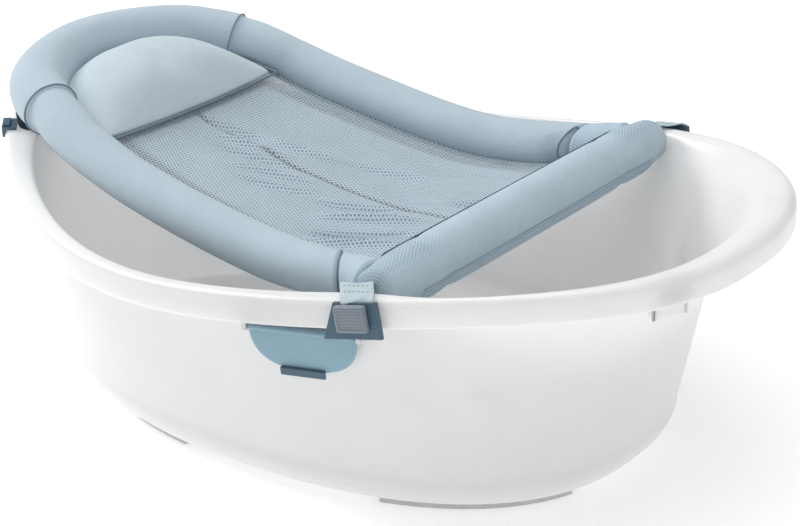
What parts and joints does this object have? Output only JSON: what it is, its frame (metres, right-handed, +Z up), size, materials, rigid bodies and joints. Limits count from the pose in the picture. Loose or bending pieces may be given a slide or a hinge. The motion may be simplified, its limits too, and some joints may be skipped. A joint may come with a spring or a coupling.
{
  "type": "baby bathtub",
  "caption": "Oval moulded baby bathtub with a rolled rim and broad foot lip, holding a padded hoop sling with a mesh seat and head pillow, clipped over the rim.",
  "frame": {"origin": "on the floor under the middle of the tub outline", "axes": "+X from the head end to the foot end, +Z up, -Y the near long side with the hinged flap"},
  "size_m": [0.79, 0.5404, 0.3068],
  "materials": {
    "tub_plastic": "moulded, satin gloss",
    "grip_rubber": "matte",
    "plug_rubber": "matte",
    "blue_plastic": "fine moulded grain",
    "dark_plastic": "satin",
    "white_plastic": "satin",
    "steel": "drawn",
    "foam": "open cell foam",
    "sling_fabric": "fine knit",
    "net_fabric": "open hexagon mesh",
    "pillow_fabric": "fine knit",
    "webbing": "woven tape",
    "dark_webbing": "woven tape",
    "clip_pad": "fine ribbed"
  },
  "bodies": {
    "tub": {"tub_shell": "tub_plastic", "foot_pad_foot_front": "grip_rubber", "foot_pad_foot_rear": "grip_rubber", "foot_pad_head_front": "grip_rubber", "foot_pad_head_rear": "grip_rubber", "side_flap_bracket": "white_plastic", "side_flap_pin": "steel"},
    "sling": {"hoop_rod": "steel", "foot_rod": "steel", "corner_joint_front": "white_plastic", "corner_joint_rear": "white_plastic", "rail_foam_front": "foam", "rail_foam_rear": "foam", "head_foam": "foam", "foot_bar_foam": "foam", "rail_cover_front": "sling_fabric", "rail_cover_rear": "sling_fabric", "head_cover": "sling_fabric", "foot_bar_cover": "sling_fabric", "net": "net_fabric", "pillow": "pillow_fabric", "strap_foot_front": "webbing", "strap_foot_rear": "webbing", "strap_head_front": "dark_webbing", "strap_head_rear": "dark_webbing"},
    "side_flap": {"side_flap": "blue_plastic", "side_flap_tab": "dark_plastic"},
    "drain_plug": {"drain_plug": "plug_rubber"},
    "clip_foot_front": {"clip_plate_foot_front": "dark_plastic", "clip_pad_foot_front": "clip_pad"},
    "clip_foot_rear": {"clip_plate_foot_rear": "dark_plastic", "clip_pad_foot_rear": "clip_pad"},
    "clip_head_front": {"clip_plate_head_front": "dark_plastic", "clip_pad_head_front": "dark_plastic"},
    "clip_head_rear": {"clip_plate_head_rear": "dark_plastic", "clip_pad_head_rear": "dark_plastic"}
  },
  "joints": [
    {"name": "sling_lift", "type": "slide", "parent": "tub", "child": "sling", "axis": [0, 0, 1], "range_m": [0, 0.25]},
    {"name": "flap_hinge", "type": "hinge", "parent": "tub", "child": "side_flap", "pos_m": [0.10996, -0.24874, 0.18086], "axis": [-0.9743, -0.2166, -0.061], "range_deg": [0, 60]},
    {"name": "plug_lift", "type": "slide", "parent": "tub", "child": "drain_plug", "axis": [0, 0, 1], "range_m": [0, 0.06]},
    {"name": "clip_foot_front_hinge", "type": "hinge", "parent": "sling", "child": "clip_foot_front", "pos_m": [0.16674, -0.25698, 0.22614], "axis": [-0.9635, -0.2151, -0.1591], "range_deg": [0, 95]},
    {"name": "clip_foot_rear_hinge", "type": "hinge", "parent": "sling", "child": "clip_foot_rear", "pos_m": [0.16674, 0.25698, 0.22614], "axis": [0.9635, -0.2151, 0.1591], "range_deg": [0, 95]},
    {"name": "clip_head_front_hinge", "type": "hinge", "parent": "sling", "child": "clip_head_front", "pos_m": [-0.34066, -0.11482, 0.22999], "axis": [-0.5913, 0.7676, 0.2473], "range_deg": [0, 60]},
    {"name": "clip_head_rear_hinge", "type": "hinge", "parent": "sling", "child": "clip_head_rear", "pos_m": [-0.34066, 0.11482, 0.22999], "axis": [0.5913, 0.7676, -0.2473], "range_deg": [0, 60]}
  ]
}
